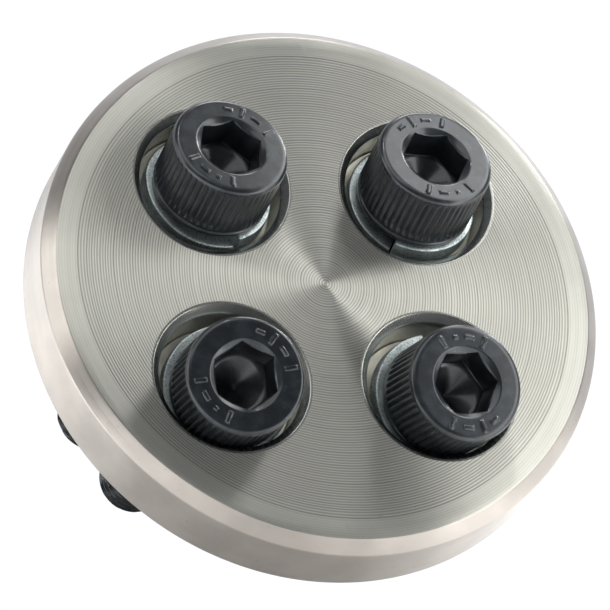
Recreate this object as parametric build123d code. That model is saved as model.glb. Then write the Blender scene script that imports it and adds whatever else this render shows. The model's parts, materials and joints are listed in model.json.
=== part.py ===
from build123d import *
import math
import os

# Round lathe plate with four counterbored holes.
# A loose socket head cap screw and a split spring washer sit in each hole.
# Millimetres. The origin is the centre of the turned front face, and +Z points out of it.

# plate
PLATE_DIAMETER = 48.4
PLATE_THICKNESS = 6.8
RIM_CHAMFER = 1.1
BACK_EDGE_BREAK = 0.25

# holes
HOLE_CIRCLE_SHARE = 0.525
HOLE_COUNT = 4
FIRST_HOLE_ANGLE = 45.0
COUNTERBORE_DEPTH = 3.95
MOUTH_CHAMFER = 0.6
BACK_HOLE_CHAMFER = 0.5
COUNTERBORE_CLEARANCE = 0.07
HOLE_CLEARANCE = 0.1

# socket head cap screw
SHANK_DIAMETER = 6.0
SCREW_LENGTH = 34.0
TIP_CHAMFER = 0.7
HEAD_DIAMETER = 10.0
HEAD_HEIGHT = 6.0
HEAD_ROUND = 0.45
HEAD_FOOT_CHAMFER = 0.25
SOCKET_ACROSS_FLATS = 5.0
SOCKET_DEPTH = 3.0
SOCKET_MOUTH_CHAMFER = 0.35
SOCKET_DRILL_ANGLE = 118.0

# split spring washer
WASHER_OUTER_DIAMETER = 11.0
WASHER_THICKNESS = 1.5
WASHER_CLEARANCE = 0.25
SPLIT_GAP = 0.35
LOW_END_DROP = 1.0
LOW_END_SWEEP = 110.0

# how the loose screws lie in their holes
SEAT_GAP = 0.03
TIP_ROOM = 0.04
WASHER_DROP = 0.25
SCREW_DROP = 0.2

# one line per hole: node number, side the head leans to, lean, turn of the socket, side of the split
HOLES = [
    (1, 77.0, 11.7, 0.0, 243.0),
    (2, 74.0, 11.6, 18.0, 290.0),
    (3, 256.0, 12.3, 34.0, 80.0),
    (4, 299.0, 11.5, 7.0, 100.0),
]

plate_radius = PLATE_DIAMETER / 2
hole_circle_radius = plate_radius * HOLE_CIRCLE_SHARE
shank_radius = SHANK_DIAMETER / 2
head_radius = HEAD_DIAMETER / 2
washer_outer = WASHER_OUTER_DIAMETER / 2
washer_inner = shank_radius + WASHER_CLEARANCE
washer_width = washer_outer - washer_inner
floor_z = -COUNTERBORE_DEPTH


def hole_centre(number):
    """Centre of one hole on the front face."""
    angle = math.radians(FIRST_HOLE_ANGLE + (number - 1) * 360.0 / HOLE_COUNT)
    return Vector(hole_circle_radius * math.cos(angle), hole_circle_radius * math.sin(angle), 0)


def tip_gap(share):
    """Smallest gap between two tips when every screw leans by this share of its own lean."""
    hanging_length = SCREW_LENGTH - WASHER_THICKNESS - SEAT_GAP
    tips = []
    for number, lean_side, lean, _, _ in HOLES:
        offset = hanging_length * math.sin(math.radians(lean * share))
        side = math.radians(lean_side)
        tips.append(hole_centre(number) - Vector(math.cos(side), math.sin(side), 0) * offset)
    pairs = [(a, b) for a in tips for b in tips if a is not b]
    return min((a - b).length for a, b in pairs) - SHANK_DIAMETER


# the screws lean less where their tips would meet
lean_share = 1.0
while tip_gap(lean_share) < TIP_ROOM and lean_share > 0.1:
    lean_share -= 0.02
most_lean = math.radians(lean_share * max(lean for _, _, lean, _, _ in HOLES))

# the counterbores clear the leaning washer and head, and the holes clear the leaning shank
washer_height = SEAT_GAP + washer_outer * math.sin(most_lean)
washer_reach = washer_outer * math.cos(most_lean) + WASHER_THICKNESS * math.sin(most_lean)
head_drop = COUNTERBORE_DEPTH - MOUTH_CHAMFER - washer_height + head_radius * math.sin(most_lean)
head_reach = head_radius * math.cos(most_lean) + head_drop * math.tan(most_lean) + SCREW_DROP
counterbore_radius = max(washer_reach, head_reach) + WASHER_DROP + COUNTERBORE_CLEARANCE
shank_drop = PLATE_THICKNESS - COUNTERBORE_DEPTH + washer_height
shank_reach = shank_radius / math.cos(most_lean) + shank_drop * math.tan(most_lean)
hole_radius = shank_reach + SCREW_DROP + WASHER_DROP + HOLE_CLEARANCE


def turned(profile_points):
    """Solid of revolution about Z from a closed outline of (radius, z) points."""
    outline = Polyline(*[(r, 0, z) for r, z in profile_points], close=True)
    return revolve(make_face(outline), Axis.Z, 360)


def make_plate():
    """Turned disc with a chamfered front rim and four counterbored holes."""
    back = -PLATE_THICKNESS
    plate = turned([
        (0, 0),
        (plate_radius - RIM_CHAMFER, 0),
        (plate_radius, -RIM_CHAMFER),
        (plate_radius, back + BACK_EDGE_BREAK),
        (plate_radius - BACK_EDGE_BREAK, back),
        (0, back),
    ])
    cutter = turned([
        (0, MOUTH_CHAMFER),
        (counterbore_radius + 2 * MOUTH_CHAMFER, MOUTH_CHAMFER),
        (counterbore_radius, -MOUTH_CHAMFER),
        (counterbore_radius, floor_z),
        (hole_radius, floor_z),
        (hole_radius, back + BACK_HOLE_CHAMFER),
        (hole_radius + 2 * BACK_HOLE_CHAMFER, back - BACK_HOLE_CHAMFER),
        (0, back - BACK_HOLE_CHAMFER),
    ])
    for number, _, _, _, _ in HOLES:
        plate -= Pos(hole_centre(number)) * cutter
    return plate


def make_screw(socket_turn):
    """Cap screw along Z with the underside of its head at z = 0."""
    screw = turned([
        (0, HEAD_HEIGHT),
        (head_radius, HEAD_HEIGHT),
        (head_radius, HEAD_FOOT_CHAMFER),
        (head_radius - HEAD_FOOT_CHAMFER, 0),
        (shank_radius, 0),
        (shank_radius, TIP_CHAMFER - SCREW_LENGTH),
        (shank_radius - TIP_CHAMFER, -SCREW_LENGTH),
        (0, -SCREW_LENGTH),
    ])
    top_edge = screw.edges().filter_by(GeomType.CIRCLE).group_by(Axis.Z)[-1]
    screw = fillet(top_edge, HEAD_ROUND)
    flat_radius = SOCKET_ACROSS_FLATS / 2
    corner_radius = flat_radius / math.cos(math.radians(30))
    socket_floor = HEAD_HEIGHT - SOCKET_DEPTH
    hexagon = Pos(0, 0, socket_floor) * RegularPolygon(corner_radius, 6, rotation=socket_turn)
    drill_depth = flat_radius / math.tan(math.radians(SOCKET_DRILL_ANGLE / 2))
    drill = turned([(0, socket_floor), (flat_radius, socket_floor), (0, socket_floor - drill_depth)])
    mouth = turned([
        (0, HEAD_HEIGHT),
        (corner_radius + SOCKET_MOUTH_CHAMFER / 2, HEAD_HEIGHT),
        (0, HEAD_HEIGHT - corner_radius - SOCKET_MOUTH_CHAMFER / 2),
    ])
    return screw - extrude(hexagon, SOCKET_DEPTH) - drill - mouth


def make_washer():
    """Split spring washer with its underside at z = 0, its gap at +X and its last end bent down."""
    mean_radius = (washer_outer + washer_inner) / 2
    half_gap = math.degrees(SPLIT_GAP / mean_radius) / 2
    section = Pos(mean_radius, 0, WASHER_THICKNESS / 2) * Rot(90, 0, 0)
    section = section * Rectangle(washer_width, WASHER_THICKNESS)
    flat_sweep = 360.0 - 2 * half_gap - LOW_END_SWEEP
    flat = revolve(section, Axis.Z, flat_sweep)
    turn_pitch = LOW_END_DROP * 360.0 / LOW_END_SWEEP
    path = Helix(turn_pitch, LOW_END_DROP, mean_radius, lefthand=True)
    low_end = sweep(section, Pos(0, 0, WASHER_THICKNESS / 2) * path, is_frenet=True)
    flat = Rot(0, 0, half_gap) * flat
    low_end = Pos(0, 0, -LOW_END_DROP) * Rot(0, 0, -half_gap) * low_end
    return flat + low_end


def seat(number, lean_side, lean):
    """Place of a leaning screw and its washer: the origin is the centre of the washer's underside."""
    low_edge = washer_outer * math.sin(math.radians(lean * lean_share))
    centre = hole_centre(number) + Vector(0, -WASHER_DROP, floor_z + SEAT_GAP + low_edge)
    tilt = Rot(0, 0, lean_side) * Rot(0, lean * lean_share, 0) * Rot(0, 0, -lean_side)
    return Pos(centre) * tilt


def main():
    os.makedirs("parts", exist_ok=True)
    export_step(make_plate(), "parts/plate.step")
    washer = make_washer()
    for number, lean_side, lean, socket_turn, split_side in HOLES:
        place = seat(number, lean_side, lean)
        under_head = Pos(0, -SCREW_DROP, WASHER_THICKNESS + SEAT_GAP)
        placed_washer = place * Rot(0, 0, split_side) * washer
        placed_screw = place * under_head * make_screw(socket_turn)
        export_step(placed_washer, f"parts/spring_washer_{number}.step")
        export_step(placed_screw, f"parts/cap_screw_{number}.step")


if __name__ == "__main__":
    main()
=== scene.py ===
"""Looks of a round lathe plate with four loose cap screws and their spring washers."""

import json
import math

import bmesh
import bpy
import numpy as np
from mathutils import Matrix, Vector


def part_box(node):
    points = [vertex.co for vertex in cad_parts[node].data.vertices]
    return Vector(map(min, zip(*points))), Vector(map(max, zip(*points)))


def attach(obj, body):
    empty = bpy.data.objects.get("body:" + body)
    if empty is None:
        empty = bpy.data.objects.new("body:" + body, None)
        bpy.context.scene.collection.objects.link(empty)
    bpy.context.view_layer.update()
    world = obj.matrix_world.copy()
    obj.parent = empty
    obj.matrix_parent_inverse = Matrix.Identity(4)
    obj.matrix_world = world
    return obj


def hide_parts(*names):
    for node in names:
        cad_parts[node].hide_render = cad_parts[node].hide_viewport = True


bl_info = {
    "name": "Lathe plate finish",
    "version": (1, 0, 0),
    "blender": (4, 5, 0),
    "location": "3D View > Sidebar > Lathe plate",
    "description": "Makes the plate, screws, washers and stage on the packed frame",
    "category": "Object",
}

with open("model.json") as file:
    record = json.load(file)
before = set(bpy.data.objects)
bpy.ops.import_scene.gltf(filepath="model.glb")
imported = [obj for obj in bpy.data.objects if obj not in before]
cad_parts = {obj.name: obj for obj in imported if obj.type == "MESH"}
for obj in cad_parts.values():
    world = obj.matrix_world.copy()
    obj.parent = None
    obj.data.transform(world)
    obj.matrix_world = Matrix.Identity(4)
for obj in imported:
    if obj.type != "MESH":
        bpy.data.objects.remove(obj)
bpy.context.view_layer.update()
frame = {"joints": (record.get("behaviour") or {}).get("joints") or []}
PLATE_LOW, PLATE_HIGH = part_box("plate")
JOINTS = {joint["name"]: joint for joint in frame["joints"]}
HOLES = (1, 2, 3, 4)
TABLE_UP = (87.0, 38.0)
SOCKET_TURN = {1: 0.0, 2: 18.0, 3: 34.0, 4: 7.0}
SPLIT_SIDE = {1: 243.0, 2: 290.0, 3: 80.0, 4: 100.0}
MARK_SIDE = {1: 102.0, 2: 56.0, 3: 40.0, 4: 277.0}
MICRON = 1e-6
MM = 1e-3


# sizes and colours


def length(name, description, default):
    """A length setting in metres."""
    return bpy.props.FloatProperty(
        name=name, description=description, default=default, unit="LENGTH", precision=5
    )


def colour(name, description, default):
    """A linear colour setting."""
    return bpy.props.FloatVectorProperty(
        name=name, description=description, default=default, subtype="COLOR", size=3, min=0, max=1
    )


def angle(name, description, degrees):
    """An angle setting, given in degrees."""
    return bpy.props.FloatProperty(
        name=name, description=description, default=math.radians(degrees), subtype="ANGLE"
    )


class PlateSettings(bpy.types.PropertyGroup):
    """Sizes and colours of the turned plate."""

    radius: length("Radius", "Outside radius of the plate", PLATE_HIGH.x)
    back: length("Back", "Height of the back face", PLATE_LOW.z)
    rim_chamfer: length("Rim chamfer", "Chamfer of the front edge", 1.1 * MM)
    back_break: length("Back break", "Chamfer of the back edge", 0.25 * MM)
    hole_circle: length("Hole circle", "Radius of the circle of holes", 12.705 * MM)
    bore: length("Counterbore", "Radius of the counterbores", 6.106 * MM)
    mouth: length("Mouth chamfer", "Chamfer at the mouth of each counterbore", 0.6 * MM)
    depth: length("Depth", "Depth of the counterbores", 3.95 * MM)
    hole: length("Hole", "Radius of the clearance holes", 4.504 * MM)
    back_mouth: length("Back hole chamfer", "Chamfer of the holes at the back", 0.5 * MM)
    smooth_band: length("Smooth band", "Radius where the coarse grooves end", 21.3 * MM)
    groove_pitch: length("Groove pitch", "Distance between the turned grooves", 0.233 * MM)
    steel: colour("Steel", "Colour of the turned face", (0.65, 0.65, 0.60))
    rim_steel: colour("Rim", "Colour of the ground rim", (0.56, 0.52, 0.48))
    bore_steel: colour("Bore", "Colour of the counterbore walls", (0.50, 0.51, 0.49))
    # painted light: the bore floor is lighter than the wall to lift the shade in the recess; its warmer
    # tint is its own tone
    painted_light_floor_steel: colour("Bore floor", "Colour of the counterbore floors", (0.72, 0.71, 0.62))


class ScrewSettings(bpy.types.PropertyGroup):
    """Sizes and colours of the socket head cap screws."""

    sag: length("Sag", "How far each screw lies off the middle of its washer", 0.2 * MM)
    head: length("Head", "Radius of the head", 5.0 * MM)
    head_height: length("Head height", "Height of the head", 6.0 * MM)
    shank: length("Shank", "Radius over the thread", 3.0 * MM)
    long: length("Length", "Length under the head", 34.0 * MM)
    thread_length: length("Threaded length", "Length of the thread", 24.0 * MM)
    thread_pitch: length("Thread pitch", "Pitch of the thread", 1.0 * MM)
    thread_depth: length("Thread depth", "Depth of the thread", 0.58 * MM)
    socket: length("Socket", "Half the width across the flats of the socket", 2.5 * MM)
    socket_depth: length("Socket depth", "Depth of the socket", 3.0 * MM)
    ridges: bpy.props.IntProperty(
        name="Ridges", description="Ridges of the knurl round the head", default=54, min=12
    )
    ridge_depth: length("Ridge depth", "Depth of the knurl", 0.17 * MM)
    knurl_foot: length("Knurl foot", "Height where the knurl starts", 0.85 * MM)
    knurl_top: length("Knurl top", "Height where the knurl ends", 5.55 * MM)
    mark_ring: length("Mark ring", "Radius of the ring of raised marks", 3.88 * MM)
    mark_rise: length("Mark rise", "Height of the raised marks", 0.13 * MM)
    socket_bevel: length("Socket bevel", "Width of the bevel at a socket's corners", 0.19 * MM)
    head_round: length("Head round", "Cut of the rounded top edge of the head", 0.55 * MM)
    oxide: colour("Oxide", "Colour of the blackened steel", (0.027, 0.033, 0.040))


class WasherSettings(bpy.types.PropertyGroup):
    """Sizes and colours of the split spring washers."""

    outer: length("Outside", "Outside radius of a washer", 5.5 * MM)
    inner: length("Inside", "Inside radius of a washer", 3.25 * MM)
    thick: length("Thickness", "Thickness of a washer", 1.5 * MM)
    gap: length("Split", "Width of the split", 0.15 * MM)
    drop: length("Drop", "How far the low end is bent down", 1.0 * MM)
    drop_sweep: angle("Drop sweep", "Angle over which the low end is bent", 110)
    seat_gap: length("Seat gap", "Gap between a washer and its screw head", 0.03 * MM)
    plating: colour("Plating", "Colour of the plated steel", (0.60, 0.67, 0.68))


class StageSettings(bpy.types.PropertyGroup):
    """Camera, floor and lights."""

    azimuth: angle("Azimuth", "Side the camera stands on, from +X towards +Y", -125.99)
    elevation: angle("Elevation", "Height of the camera over the plate's face", 58.097)
    roll: angle("Roll", "Turn of the camera about its own axis", -34.341)
    distance: length("Distance", "Distance from the camera to its aim", 502.5 * MM)
    aim: bpy.props.FloatVectorProperty(
        name="Aim",
        description="Point in the middle of the view",
        default=(-1.545 * MM, -1.439 * MM, -1.290 * MM),
        subtype="TRANSLATION",
        size=3,
    )
    lens: bpy.props.FloatProperty(
        name="Lens",
        description="Focal length in millimetres",
        default=357.65,
        min=1,
        subtype="DISTANCE_CAMERA",
    )
    floor_colour: colour("Floor", "Colour of the floor", (0.90, 0.90, 0.90))
    room_colour: colour("Room", "Colour of the light from all round", (0.93, 0.95, 1.0))
    room_light: bpy.props.FloatProperty(
        name="Room light", description="Strength of the light from all round", default=0.12, min=0
    )
    wall_light: bpy.props.FloatProperty(
        name="Wall light", description="Strength of the light from behind the plate", default=0.85, min=0
    )


# shader maths


class Wire:
    """A number socket of a node tree. Arithmetic on it adds Math nodes."""

    def __init__(self, shade, socket):
        self.shade = shade
        self.socket = socket

    def maths(self, operation, *values):
        """One Math node on these values, in order."""
        return self.shade.node("ShaderNodeMath", {"operation": operation}, dict(enumerate(values)))

    def __add__(self, other):
        return self.maths("ADD", self, other)

    __radd__ = __add__

    def __sub__(self, other):
        return self.maths("SUBTRACT", self, other)

    def __rsub__(self, other):
        return self.maths("SUBTRACT", other, self)

    def __mul__(self, other):
        return self.maths("MULTIPLY", self, other)

    __rmul__ = __mul__

    def __abs__(self):
        return self.maths("ABSOLUTE", self)

    def sine(self):
        """Sine of the value in radians."""
        return self.maths("SINE", self)

    def root(self):
        """Square root of the value."""
        return self.maths("SQRT", self)

    def ramp(self, start, stop):
        """0 up to start, 1 from stop, and a smooth rise between."""
        return self.shade.node(
            "ShaderNodeMapRange",
            {"interpolation_type": "SMOOTHSTEP"},
            {"Value": self, "From Min": start, "From Max": stop},
        )


class Shade:
    """A material or world as nodes."""

    def __init__(self, tree):
        self.tree = tree

    def node(self, kind, settings=None, inputs=None, output=0):
        """Adds a node: its settings first, then the values or links of its sockets."""
        node = self.tree.nodes.new(kind)
        for key, value in (settings or {}).items():
            if key == "stops":
                self.set_stops(node.color_ramp, value)
            else:
                setattr(node, key, value)
        for key, value in (inputs or {}).items():
            if isinstance(value, Wire):
                self.tree.links.new(value.socket, node.inputs[key])
            else:
                node.inputs[key].default_value = value
        return Wire(self, node.outputs[output]) if node.outputs else None

    def set_stops(self, ramp, stops):
        """Sets a colour ramp's stops from (place, colour) pairs."""
        while len(ramp.elements) < len(stops):
            ramp.elements.new(1.0)
        for element, (place, tint) in zip(ramp.elements, stops):
            element.position = place
            element.color = tint

    def mix(self, factor, first, second):
        """Colour between first and second."""
        return self.node(
            "ShaderNodeMix", {"data_type": "RGBA"}, {0: factor, 6: first, 7: second}, output=2
        )

    def noise(self, scale, detail, vector):
        """Noise value round 0.5, at this scale in features per metre."""
        inputs = {"Scale": scale, "Detail": detail, "Vector": vector}
        return self.node("ShaderNodeTexNoise", {}, inputs)

    def place(self):
        """Object coordinates as a vector."""
        return self.node("ShaderNodeTexCoord", output="Object")

    def part(self, vector, axis):
        """The X, Y or Z of a vector."""
        return self.node("ShaderNodeSeparateXYZ", {}, {"Vector": vector}, output=axis)

    def vector(self, x, y, z):
        """A vector from three numbers."""
        return self.node("ShaderNodeCombineXYZ", {}, {0: x, 1: y, 2: z})

    def bump(self, height):
        """Normal from a height in microns."""
        return self.node("ShaderNodeBump", {}, {"Distance": MICRON, "Height": height})


def rgba(tint, level=1.0):
    """A colour with full alpha, brightened by level."""
    return (tint[0] * level, tint[1] * level, tint[2] * level, 1.0)


def new_finish(name):
    """A material and its shade, ready for its surface to be added."""
    material = bpy.data.materials.new(name)
    material.use_nodes = True
    material.node_tree.nodes.clear()
    return material, Shade(material.node_tree)


def surface(shade, linked, constants):
    """Principled surface with these linked and constant sockets, as the material's output."""
    shader = shade.node("ShaderNodeBsdfPrincipled", {}, {**constants, **linked})
    shade.node("ShaderNodeOutputMaterial", {}, {"Surface": shader})


# finishes


def turned_face_steel(plate):
    """Turned steel: grooves round the plate's axis, coarse inside and fine near the rim."""
    material, shade = new_finish("turned_face_steel")
    vector = shade.place()
    x = shade.part(vector, "X")
    y = shade.part(vector, "Y")
    radius = (x * x + y * y).root()
    inside = 1 - radius.ramp(plate.smooth_band, plate.smooth_band + 0.3 * MM)
    line = shade.vector(radius, 0.0, 0.0)
    drift = shade.noise(900.0, 1.0, line)
    depth = shade.noise(2600.0, 2.0, line)
    coarse = (radius * (2 * math.pi / plate.groove_pitch) + drift * 5.0).sine()
    fine = (radius * (2 * math.pi / (0.52 * plate.groove_pitch)) + drift * 9.0).sine()
    grooves = coarse * inside * (4.0 + depth * 9.0) + fine * (0.8 + depth)
    pits = shade.noise(5200.0, 2.0, vector).ramp(0.72, 0.80)
    centre = (1 - radius.ramp(0.25 * MM, 0.9 * MM)) * shade.noise(4200.0, 3.0, vector)
    cloud = shade.noise(130.0, 4.0, vector)
    light = rgba(plate.steel, 1.12)
    base = shade.mix(cloud.ramp(0.35, 0.7), rgba(plate.steel, 1.02), light)
    shadow = (0.5 - 0.5 * coarse) * (0.25 + inside * 0.75) * (0.25 + depth * 1.1)
    base = shade.mix(shadow, base, rgba(plate.steel, 0.50))
    base = shade.mix(pits * 0.7, base, (0.16, 0.15, 0.14, 1.0))
    linked = {
        "Base Color": base,
        "Roughness": 0.38 + depth * 0.08 + cloud * 0.03,
        "Normal": shade.bump(grooves + centre * 14.0 - pits * 4.0),
    }
    surface(shade, linked, {"Metallic": 1.0, "Anisotropic": 0.97, "Anisotropic Rotation": 0.25})
    return material


def ground_rim_steel(plate):
    """Rim and chamfer: fine lines round the edge, with small bright nicks."""
    material, shade = new_finish("ground_rim_steel")
    vector = shade.place()
    x = shade.part(vector, "X")
    y = shade.part(vector, "Y")
    radius = (x * x + y * y).root()
    line = shade.vector(shade.part(vector, "Z"), radius, 0.0)
    scratch = shade.noise(5200.0, 2.0, line)
    broad = shade.noise(900.0, 2.0, line)
    nicks = shade.noise(2600.0, 2.0, vector).ramp(0.70, 0.78)
    cloud = shade.noise(260.0, 3.0, vector)
    base = shade.mix(cloud.ramp(0.35, 0.7), rgba(plate.rim_steel, 0.92), rgba(plate.rim_steel, 1.06))
    base = shade.mix(nicks * 0.5, base, (0.25, 0.23, 0.22, 1.0))
    linked = {
        "Base Color": base,
        "Roughness": 0.24 + broad * 0.14,
        "Normal": shade.bump(scratch * 7.0 + broad * 9.0 - nicks * 9.0),
    }
    surface(shade, linked, {"Metallic": 1.0, "Anisotropic": 0.45, "Anisotropic Rotation": 0.25})
    return material


def bored_steel(plate):
    """Counterbore steel: fine rings round each hole's own axis, with a duller, warmer floor whose colour
    is also lightened as painted light against the shade in the recess.
    """
    material, shade = new_finish("bored_steel")
    vector = shade.place()
    z = shade.part(vector, "Z")
    offset = plate.hole_circle * math.sqrt(0.5)
    across = abs(shade.part(vector, "X")) - offset
    along = abs(shade.part(vector, "Y")) - offset
    radius = (across * across + along * along).root()
    line = shade.vector(z * 1.5, radius, 0.0)
    rings = shade.noise(4200.0, 2.0, line)
    stain = shade.noise(420.0, 3.0, vector)
    low = 1 - z.ramp(-plate.depth + 0.02 * MM, -plate.depth + 0.12 * MM)
    # painted light: the floor takes a lighter colour than the wall to lift the shade in the recess; its
    # warmer tint is its own tone
    base = shade.mix(low, rgba(plate.bore_steel), rgba(plate.painted_light_floor_steel))
    base = shade.mix(stain.ramp(0.42, 0.72) * 0.35, base, (0.30, 0.28, 0.24, 1.0))
    linked = {
        "Base Color": base,
        "Roughness": 0.20 + low * 0.14 + stain * 0.10,
        "Normal": shade.bump(rings * 7.0 + stain * 8.0),
    }
    surface(shade, linked, {"Metallic": 1.0})
    return material


def black_oxide_steel(screw):
    """Blackened steel: dark blue-grey, faintly mottled and speckled, with a thin oil film."""
    material, shade = new_finish("black_oxide_steel")
    vector = shade.place()
    grain = shade.noise(9000.0, 2.0, vector)
    mottle = shade.noise(900.0, 4.0, vector)
    speck = shade.noise(5200.0, 1.0, vector).ramp(0.68, 0.76)
    base = shade.mix(mottle.ramp(0.35, 0.7), rgba(screw.oxide, 0.75), rgba(screw.oxide, 1.35))
    base = shade.mix(speck * 0.25, base, (0.16, 0.15, 0.14, 1.0))
    linked = {
        "Base Color": base,
        "Roughness": 0.24 + mottle * 0.12,
        "Normal": shade.bump(grain * 3.0 + mottle * 4.0),
    }
    oil = {"Coat Weight": 0.6, "Coat Roughness": 0.16}
    surface(shade, linked, {"Metallic": 0.55, "Specular IOR Level": 0.8, **oil})
    return material


def plated_spring_steel(washer):
    """Plated steel: bluish grey, with a granular surface of fine dark specks."""
    material, shade = new_finish("plated_spring_steel")
    vector = shade.place()
    grain = shade.noise(7600.0, 2.0, vector)
    specks = grain.ramp(0.50, 0.66)
    cloud = shade.noise(700.0, 3.0, vector)
    base = shade.mix(cloud.ramp(0.35, 0.7), rgba(washer.plating, 0.85), rgba(washer.plating, 1.15))
    base = shade.mix(specks * 0.6, base, (0.10, 0.13, 0.14, 1.0))
    linked = {
        "Base Color": base,
        "Roughness": 0.36 + specks * 0.18 + cloud * 0.08,
        "Normal": shade.bump(grain * 16.0 + cloud * 10.0),
    }
    surface(shade, linked, {"Metallic": 0.9})
    return material


# surfaces


def rounded(corners, cuts, steps=4):
    """An outline with its corners rounded: each inner corner becomes the quadratic curve that
    starts one cut before it and ends one cut after it, with the corner as its control point."""
    corners = np.asarray(corners, float)
    cuts = np.asarray(cuts, float)[:, None]
    before = corners[:-2] - corners[1:-1]
    after = corners[2:] - corners[1:-1]
    start = corners[1:-1] + before / np.linalg.norm(before, axis=1)[:, None] * cuts
    end = corners[1:-1] + after / np.linalg.norm(after, axis=1)[:, None] * cuts
    t = np.linspace(0, 1, steps + 1)[None, :, None]
    curve = (1 - t) ** 2 * start[:, None] + 2 * t * (1 - t) * corners[1:-1, None] + t**2 * end[:, None]
    return np.vstack([corners[:1], curve.reshape(-1, corners.shape[1]), corners[-1:]])


def filled(outline, spacing):
    """The same outline with points added, so that neighbours are at most spacing apart."""
    outline = np.asarray(outline, float)
    steps = np.linalg.norm(np.diff(outline, axis=0), axis=1)
    counts = np.maximum(np.ceil(steps / spacing), 1).astype(int)
    at = np.concatenate([[0.0], np.cumsum(steps)])
    piece = np.repeat(np.arange(len(counts)), counts)
    share = (np.arange(counts.sum()) - np.repeat(np.cumsum(counts) - counts, counts)) / counts[piece]
    where = np.append(at[piece] + share * steps[piece], at[-1])
    return np.stack([np.interp(where, at, outline[:, k]) for k in range(outline.shape[1])], axis=1)


def skin(rows, finish=0):
    """Faces between neighbouring closed rows of points, an (m, n, 3) array."""
    count, around = rows.shape[:2]
    index = np.arange(count * around).reshape(count, around)
    here = index[:-1]
    there = index[1:]
    quads = np.stack([here, there, np.roll(there, -1, 1), np.roll(here, -1, 1)], -1).reshape(-1, 4)
    return rows.reshape(-1, 3), quads, np.full(len(quads), finish)


def join(skins):
    """Several skins as one set of points, faces and finishes."""
    offsets = np.cumsum([0] + [len(points) for points, _, _ in skins])
    points = np.vstack([part[0] for part in skins])
    quads = np.vstack([part[1] + offset for part, offset in zip(skins, offsets)])
    return points, quads, np.concatenate([part[2] for part in skins])


def make_piece(name, skins, materials, sharp=35.0):
    """A mesh object at the origin, welded, with outward faces, smooth except at sharp edges."""
    points, quads, finishes = join(skins)
    mesh = bpy.data.meshes.new(name)
    mesh.vertices.add(len(points))
    mesh.vertices.foreach_set("co", points.astype(np.float32).ravel())
    mesh.loops.add(quads.size)
    mesh.loops.foreach_set("vertex_index", quads.astype(np.int32).ravel())
    mesh.polygons.add(len(quads))
    mesh.polygons.foreach_set("loop_start", np.arange(0, quads.size, 4, dtype=np.int32))
    mesh.polygons.foreach_set("material_index", finishes.astype(np.int32))
    mesh.update(calc_edges=True)
    for material in materials:
        mesh.materials.append(material)
    work = bmesh.new()
    work.from_mesh(mesh)
    bmesh.ops.remove_doubles(work, verts=work.verts, dist=2e-7)
    bmesh.ops.recalc_face_normals(work, faces=work.faces)
    work.to_mesh(mesh)
    work.free()
    mesh.polygons.foreach_set("use_smooth", np.ones(len(mesh.polygons), bool))
    mesh.set_sharp_from_angle(angle=math.radians(sharp))
    mesh.update()
    piece = bpy.data.objects.new(name, mesh)
    bpy.context.scene.collection.objects.link(piece)
    return piece


def revolved(profile, angles):
    """Rows of a surface of revolution about Z: each (radius, height) of the profile at each angle."""
    profile = np.asarray(profile, float)
    radius = profile[:, 0][:, None]
    height = profile[:, 1][:, None]
    return polar(radius + 0 * angles, height + 0 * angles, angles)


def polar(radius, height, angles):
    """Points from arrays of radius and height at these angles."""
    return np.stack([radius * np.cos(angles), radius * np.sin(angles), height], axis=-1)


def seat(number):
    """Place of a leaning washer: the centre of its underside, and the turn that takes +Z to the
    screw's axis the short way."""
    axis = Vector(JOINTS[f"draw_out_{number}"]["axis"]).normalized()
    turn = Vector((0, 0, 1)).rotation_difference(axis).to_matrix()
    side = Vector((axis.x, axis.y, 0)).normalized()
    low = Vector(JOINTS[f"straighten_{number}"]["pos_m"])
    outer = bpy.context.scene.lathe_washer.outer
    centre = low - outer * (turn @ side)
    return np.array(centre), np.array(turn)


def placed(rows, number, offset=(0.0, 0.0, 0.0)):
    """Rows moved from the washer's own frame to its seat in the plate, after an offset."""
    centre, turn = seat(number)
    return (rows + np.array(offset)) @ turn.T + centre


# pieces


def plate_rows(plate, corner):
    """One quarter of the plate as skins round its hole: the face, the bore and the back. The surface
    runs in straight lines from the quarter's outline to the mouth, down the counterbore and the hole
    by their (radius, height) profile, and back out in straight lines to the back outline."""
    front = plate.radius - plate.rim_chamfer
    behind = plate.radius - plate.back_break
    arc = np.linspace(0, math.pi / 2, 91)
    inward = np.linspace(1, 0, 31)[1:]
    outward = np.linspace(0, 1, 31)[1:-1]
    outline = np.vstack([
        np.stack([np.cos(arc), np.sin(arc)], 1),
        np.stack([0 * inward, inward], 1),
        np.stack([outward, 0 * outward], 1),
    ])
    centre = np.full(2, plate.hole_circle * math.sqrt(0.5))
    toward = outline * front - centre
    toward /= np.linalg.norm(toward, axis=1)[:, None]
    low = -plate.depth
    profile = rounded(
        [
            (plate.bore + plate.mouth + 0.2 * MM, 0),
            (plate.bore + plate.mouth, 0),
            (plate.bore, -plate.mouth),
            (plate.bore, low),
            (plate.hole, low),
            (plate.hole, plate.back + plate.back_mouth),
            (plate.hole + plate.back_mouth, plate.back),
            (plate.hole + plate.back_mouth + 0.2 * MM, plate.back),
        ],
        [0.06 * MM, 0.10 * MM, 0.15 * MM, 0.05 * MM, 0.06 * MM, 0.05 * MM],
    )
    profile = filled(profile, 0.4 * MM)
    ring = centre + profile[:, 0][:, None, None] * toward
    rows = np.concatenate([ring, np.broadcast_to(profile[:, 1][:, None, None], (*ring.shape[:2], 1))], 2)
    share = np.linspace(0, 1, 9)[:, None, None]
    top = np.concatenate([outline * front, np.zeros((len(outline), 1))], 1)
    under = np.concatenate([outline * behind, np.full((len(outline), 1), plate.back)], 1)
    face = top + share * (rows[0] - top)
    back = rows[-1] + share * (under - rows[-1])
    turn = np.array(Matrix.Rotation(corner * math.pi / 2, 3, "Z"))
    return [skin(face @ turn.T), skin(rows @ turn.T, finish=2), skin(back @ turn.T)]


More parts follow.
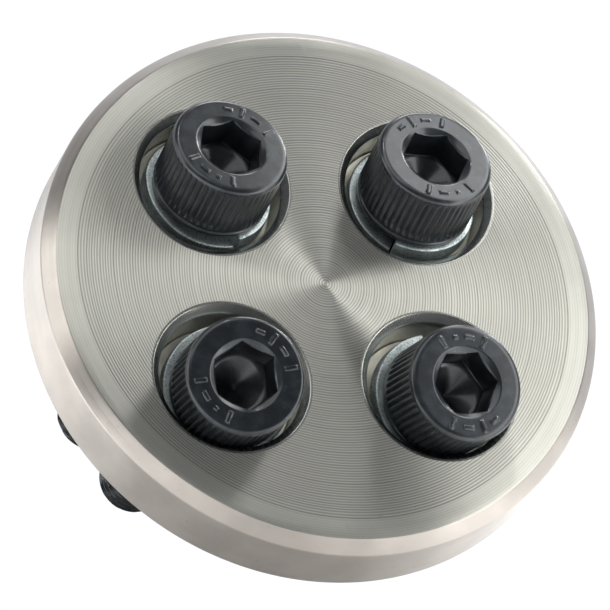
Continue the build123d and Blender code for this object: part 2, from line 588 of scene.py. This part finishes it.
def rim_rows(plate):
    """The plate's edge: its rounded (radius, height) outline at each degree round the axis."""
    outline = rounded(
        [
            (plate.radius - plate.rim_chamfer, 0),
            (plate.radius - plate.rim_chamfer + 0.08 * MM, -0.05 * MM),
            (plate.radius, -plate.rim_chamfer),
            (plate.radius, plate.back + plate.back_break),
            (plate.radius - plate.back_break, plate.back),
        ],
        [0.06 * MM, 0.12 * MM, 0.08 * MM],
    )
    return revolved(filled(outline, 0.5 * MM), np.linspace(0, 2 * math.pi, 361)[:-1])


def mark_height(screw, radius, angle):
    """Raised bars and pips on a head, on one ring. Each is a rounded box, whose height
    falls smoothly to nothing at its edge. A mark is (angle, half width, half height)."""
    marks = [
        (-30, 0.16, 0.52), (-8, 0.42, 0.16), (12, 0.16, 0.52), (30, 0.36, 0.16),
        (148, 0.16, 0.50), (168, 0.40, 0.16), (187, 0.15, 0.15), (206, 0.16, 0.50),
    ]
    side = np.radians([mark[0] for mark in marks])[:, None, None]
    wide = np.array([mark[1] for mark in marks])[:, None, None] * MM
    tall = np.array([mark[2] for mark in marks])[:, None, None] * MM
    swing = (angle - side + math.pi) % (2 * math.pi) - math.pi
    across = np.abs(swing) * radius - wide
    along = np.abs(radius - screw.mark_ring) - tall
    corner = np.hypot(np.maximum(across, 0), np.maximum(along, 0))
    outside = corner + np.minimum(np.maximum(across, along), 0)
    rise = np.clip(-outside / (0.14 * MM) + 0.5, 0, 1)
    return (rise * rise * (3 - 2 * rise)).max(0) * screw.mark_rise


def head_rows(screw, number):
    """A socket head as rows from the middle of the drilled socket, up its walls, over the top and
    down the knurled side to the middle of the underside. The socket's radius at an angle is the
    half width over the cosine of the angle from the nearest flat. The knurl takes a raised cosine
    of the angle off the side's radius."""
    around = screw.ridges * 8
    angles = np.linspace(0, 2 * math.pi, around + 1)[:-1]
    from_flat = (angles % math.radians(60)) - math.radians(30)
    hexagon = screw.socket / np.cos(from_flat)
    top = screw.head_height
    floor = top - screw.socket_depth
    mouth = screw.socket / math.cos(math.radians(30)) + screw.socket_bevel
    drill = screw.socket / math.tan(math.radians(59))
    cone = np.linspace(0, 1, 9)[:, None]
    drill_height = floor - drill * (1 - cone)
    drill_rows = polar(cone * screw.socket * 0.97 + 0 * angles, drill_height + 0 * angles, angles)
    ledge = polar((hexagon - 0.06 * MM)[None], floor + 0 * angles[None], angles)
    lip = top - 0.6 * (mouth - hexagon)
    climb = np.linspace(0, 1, 7)[:, None]
    wall_foot = floor + 0.06 * MM
    wall = polar(hexagon + 0 * climb, wall_foot + climb * (lip - 0.05 * MM - wall_foot), angles)
    slope = np.linspace(0.12, 1, 5)[:, None]
    bevel = polar(hexagon + slope * (mouth - hexagon), lip + slope * (top - lip), angles)
    edge = rounded(
        [
            (mouth, top),
            (screw.head, top),
            (screw.head, 0.8 * MM),
            (screw.head - 0.12 * MM, 0.72 * MM),
            (screw.head - 0.12 * MM, 0.5 * MM),
            (screw.head, 0.42 * MM),
            (screw.head, 0.0),
            (screw.head - 0.8 * MM, 0.0),
        ],
        [screw.head_round, 0.05 * MM, 0.05 * MM, 0.05 * MM, 0.05 * MM, 0.2 * MM],
        6,
    )
    on_top = edge[:, 1] > top - 0.2 * MM
    edge = np.vstack([filled(edge[on_top], 0.075 * MM), filled(edge[~on_top], 0.3 * MM)])
    radius = edge[:, 0][:, None]
    height = edge[:, 1][:, None]
    raised = mark_height(screw, radius, angles - math.radians(MARK_SIDE[number] - SOCKET_TURN[number]))
    lift = raised * (height > top - 0.2 * MM)
    above_foot = np.clip((height - screw.knurl_foot) / (0.25 * MM), 0, 1)
    below_top = np.clip((screw.knurl_top - height) / (0.35 * MM), 0, 1)
    on_side = above_foot * below_top * (radius > screw.head - 0.2 * MM)
    ridge = (0.5 + 0.5 * np.cos(screw.ridges * angles)) ** 1.5
    outer = polar(radius - on_side * ridge * screw.ridge_depth, height + lift, angles)
    middle = polar(0 * angles[None], 0 * angles[None], angles)
    rows = np.concatenate([drill_rows, ledge, wall, bevel, outer, middle])
    turn = np.array(Matrix.Rotation(math.radians(SOCKET_TURN[number]), 3, "Z"))
    return rows @ turn.T


def shank_rows(screw):
    """A threaded shank as rows from inside the head to the middle of the tip. The thread takes its
    depth off the radius where the height in turns, less the angle in turns, is half way between
    crests, as a flat-topped triangle wave. The tip is cut to a cone."""
    angles = np.linspace(0, 2 * math.pi, 97)[:-1]
    down = np.linspace(0, -screw.long, 401)
    heights = np.concatenate([[1.0 * MM, 1.0 * MM], down, [-screw.long]])[:, None]
    wave = np.abs(2 * ((heights / screw.thread_pitch - angles / (2 * math.pi)) % 1) - 1)
    cut = np.clip((wave - 0.12) / 0.66, 0, 1)
    start = -(screw.long - screw.thread_length)
    run_in = np.clip((start - heights) / screw.thread_pitch, 0, 1)
    radius = screw.shank - screw.thread_depth * cut * run_in
    cone = screw.shank - 0.75 * MM + (heights + screw.long)
    radius = np.minimum(radius, cone)
    ends = np.ones_like(heights)
    ends[0] = 0
    ends[-1] = 0
    return polar(radius * ends, heights + 0 * angles, angles)


def washer_rows(washer, number):
    """A split washer as loops of its rounded section carried round the screw's axis. Over the last
    part of the turn the section drops in proportion to the angle. Each end closes on a point."""
    inner = washer.inner
    outer = washer.outer
    middle = (inner + outer) / 2
    half_gap = washer.gap / middle / 2
    box = rounded(
        [
            (middle, 0), (outer, 0), (outer, washer.thick), (inner, washer.thick), (inner, 0), (middle, 0),
        ],
        [0.16 * MM, 0.16 * MM, 0.16 * MM, 0.16 * MM],
        5,
    )[:-1]
    box = filled(np.vstack([box, box[:1]]), 0.4 * MM)[:-1]
    angles = np.linspace(half_gap, 2 * math.pi - half_gap, 241)
    ends = np.concatenate([[0.0, 0.93], np.ones(len(angles)), [0.93, 0.0]])
    inset = 0.05 * MM / middle
    angles = np.concatenate([[angles[0]] * 2, angles, [angles[-1]] * 2])
    angles[2] += inset
    angles[-3] -= inset
    centre = np.array([middle, washer.thick / 2])
    loops = centre + ends[:, None, None] * (box - centre)
    bent = np.clip((angles - (2 * math.pi - half_gap - washer.drop_sweep)) / washer.drop_sweep, 0, 1)
    height = loops[..., 1] - washer.drop * bent[:, None]
    around = angles[:, None] + math.radians(SPLIT_SIDE[number])
    return np.stack([loops[..., 0] * np.cos(around), loops[..., 0] * np.sin(around), height], -1)


class LATHE_OT_plate(bpy.types.Operator):
    """Makes the turned plate with its rounded edges and finishes"""

    bl_idname = "lathe.plate"
    bl_label = "Plate"

    def execute(self, context):
        plate = context.scene.lathe_plate
        skins = [part for corner in range(4) for part in plate_rows(plate, corner)]
        skins.append(skin(rim_rows(plate), finish=1))
        materials = [turned_face_steel(plate), ground_rim_steel(plate), bored_steel(plate)]
        piece = make_piece("turned_plate", skins, materials)
        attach(piece, "plate")
        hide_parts("plate")
        return {"FINISHED"}


class LATHE_OT_screws(bpy.types.Operator):
    """Makes the four socket head cap screws"""

    bl_idname = "lathe.screws"
    bl_label = "Cap screws"

    def execute(self, context):
        screw = context.scene.lathe_screw
        washer = context.scene.lathe_washer
        material = black_oxide_steel(screw)
        offset = (0, -screw.sag, washer.thick + washer.seat_gap)
        for number in HOLES:
            head = placed(head_rows(screw, number), number, offset)
            shank = placed(shank_rows(screw), number, offset)
            piece = make_piece(f"socket_screw_{number}", [skin(head), skin(shank)], [material])
            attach(piece, f"screw_{number}")
            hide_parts(f"cap_screw_{number}")
        return {"FINISHED"}


class LATHE_OT_washers(bpy.types.Operator):
    """Makes the four split spring washers"""

    bl_idname = "lathe.washers"
    bl_label = "Spring washers"

    def execute(self, context):
        washer = context.scene.lathe_washer
        material = plated_spring_steel(washer)
        for number in HOLES:
            rows = placed(washer_rows(washer, number), number)
            piece = make_piece(f"split_washer_{number}", [skin(rows)], [material])
            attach(piece, f"washer_{number}")
            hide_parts(f"spring_washer_{number}")
        return {"FINISHED"}


# stage

# name, azimuth, elevation, distance, width, height, brightness and tint of each soft box
BOXES = [
    ("left_box", 115, 53, 0.30, 0.26, 0.20, 1.2, (1.0, 1.0, 0.97)),
    ("low_left_box", 160, 18, 0.30, 0.20, 0.14, 2.0, (1.0, 1.0, 0.97)),
    ("right_box", 13, 40, 0.07, 0.145, 0.03, 3.0, (1.0, 0.99, 0.96)),
    ("low_right_box", 352, 6, 0.40, 0.14, 0.08, 1.6, (1.0, 1.0, 1.0)),
    ("back_box", 74, 7, 0.40, 0.12, 0.12, 6.5, (1.0, 1.0, 1.0)),
    ("back_high_box", 47, 26, 0.40, 0.10, 0.10, 2.2, (1.0, 1.0, 1.0)),
    ("back_right_box", 44, 3, 0.50, 0.10, 0.04, 45.0, (1.0, 1.0, 1.0)),
    ("overhead_box", 91, 36, 0.50, 0.025, 0.025, 45.0, (1.0, 1.0, 1.0)),
]


def direction(azimuth, elevation):
    """Unit vector towards this azimuth and elevation, in degrees."""
    side = math.radians(azimuth)
    rise = math.radians(elevation)
    return Vector((math.cos(rise) * math.cos(side), math.cos(rise) * math.sin(side), math.sin(rise)))


def soft_box(name, toward, distance, width, height, brightness, tint):
    """A rectangular lamp that faces the plate. Its power is its brightness times its area times pi."""
    lamp = bpy.data.lights.new(name, "AREA")
    lamp.shape = "RECTANGLE"
    lamp.size = width
    lamp.size_y = height
    lamp.energy = brightness * width * height * math.pi
    lamp.color = tint
    holder = bpy.data.objects.new(name, lamp)
    bpy.context.scene.collection.objects.link(holder)
    holder.location = toward * distance
    holder.rotation_euler = (-toward).to_track_quat("-Z", "Y").to_euler()
    holder.visible_camera = False


def light_room(stage):
    """Dim light from all round, a pale wall behind the plate, and soft boxes at both sides, behind
    and overhead. The lens sees an even pale wall."""
    world = bpy.data.worlds.new("soft_room")
    world.use_nodes = True
    world.node_tree.nodes.clear()
    shade = Shade(world.node_tree)
    toward = shade.node("ShaderNodeTexCoord", output="Generated")
    behind = 1 - shade.part(toward, "Z").ramp(-0.20, 0.05)
    seen = shade.node("ShaderNodeLightPath", output="Is Camera Ray")
    strength = stage.room_light + behind * stage.wall_light
    strength = strength * (1 - seen) + seen * 1.1
    even = shade.node("ShaderNodeBackground", {}, {"Color": rgba(stage.room_colour), "Strength": strength})
    shade.node("ShaderNodeOutputWorld", {}, {"Surface": even})
    bpy.context.scene.world = world
    for name, side, rise, far, wide, tall, bright, tint in BOXES:
        soft_box(name, direction(side, rise), far, wide, tall, bright, tint)


def lay_floor(stage):
    """A wide pale disc under the tilted plate: it just clears the rim and the screw tips. Its own glow is
    painted light, bright at both sides, and painted shade in front of the plate, where it glows only
    dimly. The lens looks through it at the pale wall, so that it hides the plate from no side."""
    up = direction(*TABLE_UP)
    bodies = [bpy.data.objects[name] for name in ("plate", "cap_screw_2", "cap_screw_3")]
    low = min(up.dot(point.co) for body in bodies for point in body.data.vertices) - 0.02 * MM
    around = np.linspace(0, 2 * math.pi, 97)[:-1]
    rows = revolved([(0, low), (0.5, low), (3.0, low), (3.0, low - 1 * MM), (0, low - 1 * MM)], around)
    rows = rows @ np.array(Vector((0, 0, 1)).rotation_difference(up).to_matrix()).T
    material, shade = new_finish("pale_floor")
    diffuse = shade.node("ShaderNodeBsdfDiffuse", {}, {"Color": rgba(stage.floor_colour)})
    x = shade.part(shade.place(), "X")
    # painted light: the floor's glow rises towards both sides and stays low in front of the plate as
    # painted shade
    painted_side_light = (-8 * MM - x).ramp(0.0, 60 * MM) + x.ramp(0.0, 40 * MM) * 0.7
    glow = shade.node("ShaderNodeEmission", {}, {"Color": rgba((1.0, 1.0, 1.0)), "Strength": 0.04 + painted_side_light})
    both = shade.node("ShaderNodeAddShader", {}, {0: diffuse, 1: glow})
    shade.node("ShaderNodeOutputMaterial", {}, {"Surface": both})
    floor = make_piece("floor", [skin(rows)], [material])
    floor.visible_camera = False


def set_camera(stage):
    """A long lens on the aim, from its azimuth, elevation and roll."""
    data = bpy.data.cameras.new("camera")
    data.lens = stage.lens
    data.sensor_width = 36
    data.clip_start = 0.01
    data.clip_end = 20
    camera = bpy.data.objects.new("camera", data)
    bpy.context.scene.collection.objects.link(camera)
    back = direction(math.degrees(stage.azimuth), math.degrees(stage.elevation))
    level = back.to_track_quat("Z", "Y")
    camera.location = Vector(stage.aim) + back * stage.distance
    camera.rotation_euler = (level.to_matrix() @ Matrix.Rotation(-stage.roll, 3, "Z")).to_euler()
    bpy.context.scene.camera = camera


class LATHE_OT_stage(bpy.types.Operator):
    """Sets up the floor, the lights and the camera"""

    bl_idname = "lathe.stage"
    bl_label = "Stage"

    def execute(self, context):
        stage = context.scene.lathe_stage
        lay_floor(stage)
        light_room(stage)
        set_camera(stage)
        context.scene.view_settings.view_transform = "Standard"
        return {"FINISHED"}


class LATHE_PT_panel(bpy.types.Panel):
    """Buttons for the pieces and the stage, and their sizes and colours"""

    bl_idname = "LATHE_PT_panel"
    bl_label = "Lathe plate"
    bl_space_type = "VIEW_3D"
    bl_region_type = "UI"
    bl_category = "Lathe plate"

    def draw(self, context):
        for operator, name in STEPS:
            self.layout.operator(operator)
            settings = getattr(context.scene, name)
            for key in settings.__annotations__:
                self.layout.prop(settings, key)


STEPS = [
    ("lathe.plate", "lathe_plate"),
    ("lathe.screws", "lathe_screw"),
    ("lathe.washers", "lathe_washer"),
    ("lathe.stage", "lathe_stage"),
]
SETTINGS = {
    "lathe_plate": PlateSettings,
    "lathe_screw": ScrewSettings,
    "lathe_washer": WasherSettings,
    "lathe_stage": StageSettings,
}
CLASSES = [
    *SETTINGS.values(),
    LATHE_OT_plate,
    LATHE_OT_screws,
    LATHE_OT_washers,
    LATHE_OT_stage,
    LATHE_PT_panel,
]


def register():
    for item in CLASSES:
        bpy.utils.register_class(item)
    for name, settings in SETTINGS.items():
        setattr(bpy.types.Scene, name, bpy.props.PointerProperty(type=settings))


def unregister():
    for name in SETTINGS:
        delattr(bpy.types.Scene, name)
    for item in reversed(CLASSES):
        bpy.utils.unregister_class(item)


def main():
    register()
    bpy.ops.lathe.plate()
    bpy.ops.lathe.screws()
    bpy.ops.lathe.washers()
    bpy.ops.lathe.stage()


if __name__ == "__main__":
    main()
